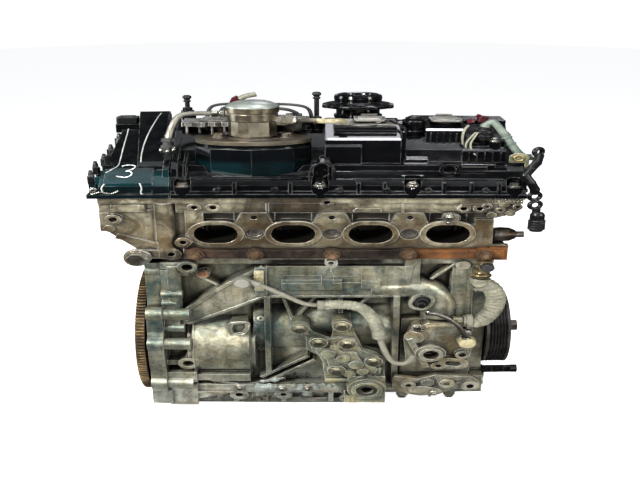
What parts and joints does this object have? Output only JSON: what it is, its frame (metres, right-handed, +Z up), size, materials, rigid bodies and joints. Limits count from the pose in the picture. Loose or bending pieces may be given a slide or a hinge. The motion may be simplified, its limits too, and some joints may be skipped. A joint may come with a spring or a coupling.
{
  "type": "car engine",
  "caption": "Inline petrol car engine long block: cast block, head with open exhaust ports, black cam cover, fuel pump, flexplate and pulley, hoses and bracket.",
  "frame": {"origin": "crankshaft axis at the rear face of the flexplate's converter pads", "axes": "+X along the crankshaft from the flexplate towards the pulley, +Z up along the cylinders, exhaust side towards -Y"},
  "size_m": [0.5368, 0.3057, 0.664],
  "materials": {
    "cast_block": "rough sand-cast, oil and road film",
    "cast_head": "cast with machined faces, tan heat film",
    "cast_pan": "die-cast, dull",
    "cover_plastic": "glossy moulded black with worn edges",
    "matte_black": "satin black",
    "rusty_steel": "rusty brown",
    "pump_steel": "satin stainless, tan film",
    "bright_steel": "plated or ground steel",
    "piston_alloy": "machined",
    "pulley_black": "black coated",
    "rubber_black": "moulded",
    "bracket_alloy": "cast, yellow-tan patina",
    "grey_hose": "ribbed, dusty grey",
    "cream_plastic": "off-white, dusty",
    "brass_fitting": "dull"
  },
  "bodies": {
    "engine": {"engine_block": "cast_block", "main_bearing_caps": "cast_block", "oil_pan": "cast_pan", "cylinder_head": "cast_head", "head_gasket": "bright_steel", "core_plugs": "bright_steel", "head_cover": "cover_plastic", "timing_case_cover": "cover_plastic", "lower_timing_cover": "cast_pan", "exhaust_clamp_rail": "rusty_steel", "rail_nuts": "rusty_steel", "fuel_pump_body": "pump_steel", "fuel_pump_flange": "pump_steel", "fuel_pump_pedestal": "cover_plastic", "fuel_pump_bolts": "bright_steel", "fuel_feed_pipe": "pump_steel", "fuel_line": "cream_plastic", "ignition_coils": "cover_plastic", "filler_neck": "matte_black", "cover_bolts": "bright_steel", "cover_studs": "matte_black", "harness_connector": "cover_plastic", "chain_tensioner": "bright_steel", "connecting_rods": "bright_steel", "pistons": "piston_alloy", "piston_pins": "bright_steel", "timing_chains": "bright_steel", "valves": "bright_steel", "valve_springs": "bright_steel", "coolant_housing": "cast_head", "coolant_sensor": "matte_black", "coolant_hose": "grey_hose", "hose_fitting": "brass_fitting", "lifting_bracket": "bracket_alloy", "vacuum_plug": "cream_plastic", "sensor_connector": "cream_plastic", "sensor_cable": "cream_plastic", "cable_conduit": "grey_hose", "support_bracket": "bracket_alloy", "bracket_bolts": "bright_steel", "pan_bolts": "bright_steel", "side_arm": "cast_head", "tension_strut": "matte_black", "vent_connector": "matte_black", "vent_hose": "grey_hose", "vent_valve": "matte_black", "oil_pressure_sensor": "bright_steel"},
    "crank": {"crankshaft": "bright_steel", "flexplate": "bright_steel", "ring_gear": "rusty_steel", "flexplate_bolts": "bright_steel", "pulley_hub": "bright_steel", "pulley_rubber": "rubber_black", "pulley_ring": "pulley_black", "pulley_bolt": "bright_steel"},
    "idler": {"idler_sprocket": "bright_steel"},
    "intake_cam": {"intake_camshaft": "bright_steel"},
    "exhaust_cam": {"exhaust_camshaft": "bright_steel"},
    "oil_cap": {"filler_cap": "matte_black"},
    "plunger": {"pump_plunger": "bright_steel"}
  },
  "joints": [
    {"name": "crank_spin", "type": "hinge", "parent": "engine", "child": "crank", "pos_m": [0.24, 0, 0], "axis": [1, 0, 0], "continuous": true, "deforming": ["connecting_rods"]},
    {"name": "idler_spin", "type": "hinge", "parent": "engine", "child": "idler", "pos_m": [0.028, 0, 0.12], "axis": [1, 0, 0], "continuous": true},
    {"name": "intake_cam_spin", "type": "hinge", "parent": "engine", "child": "intake_cam", "pos_m": [0.24, 0.06, 0.332], "axis": [1, 0, 0], "continuous": true},
    {"name": "exhaust_cam_spin", "type": "hinge", "parent": "engine", "child": "exhaust_cam", "pos_m": [0.24, -0.06, 0.332], "axis": [1, 0, 0], "continuous": true},
    {"name": "oil_cap_turn", "type": "hinge", "parent": "engine", "child": "oil_cap", "pos_m": [0.273, 0.062, 0.49], "axis": [0, 0, 1], "range_deg": [0, 90]},
    {"name": "plunger_slide", "type": "slide", "parent": "engine", "child": "plunger", "axis": [0, 0, 1], "range_m": [0, 0.004], "stiffness_N_per_m": 3000, "springref_m": -0.002}
  ],
  "couplings": [
    {"joint": "idler_spin", "follows": "crank_spin", "ratio": 0.75},
    {"joint": "intake_cam_spin", "follows": "crank_spin", "ratio": 0.5},
    {"joint": "exhaust_cam_spin", "follows": "crank_spin", "ratio": 0.5}
  ]
}
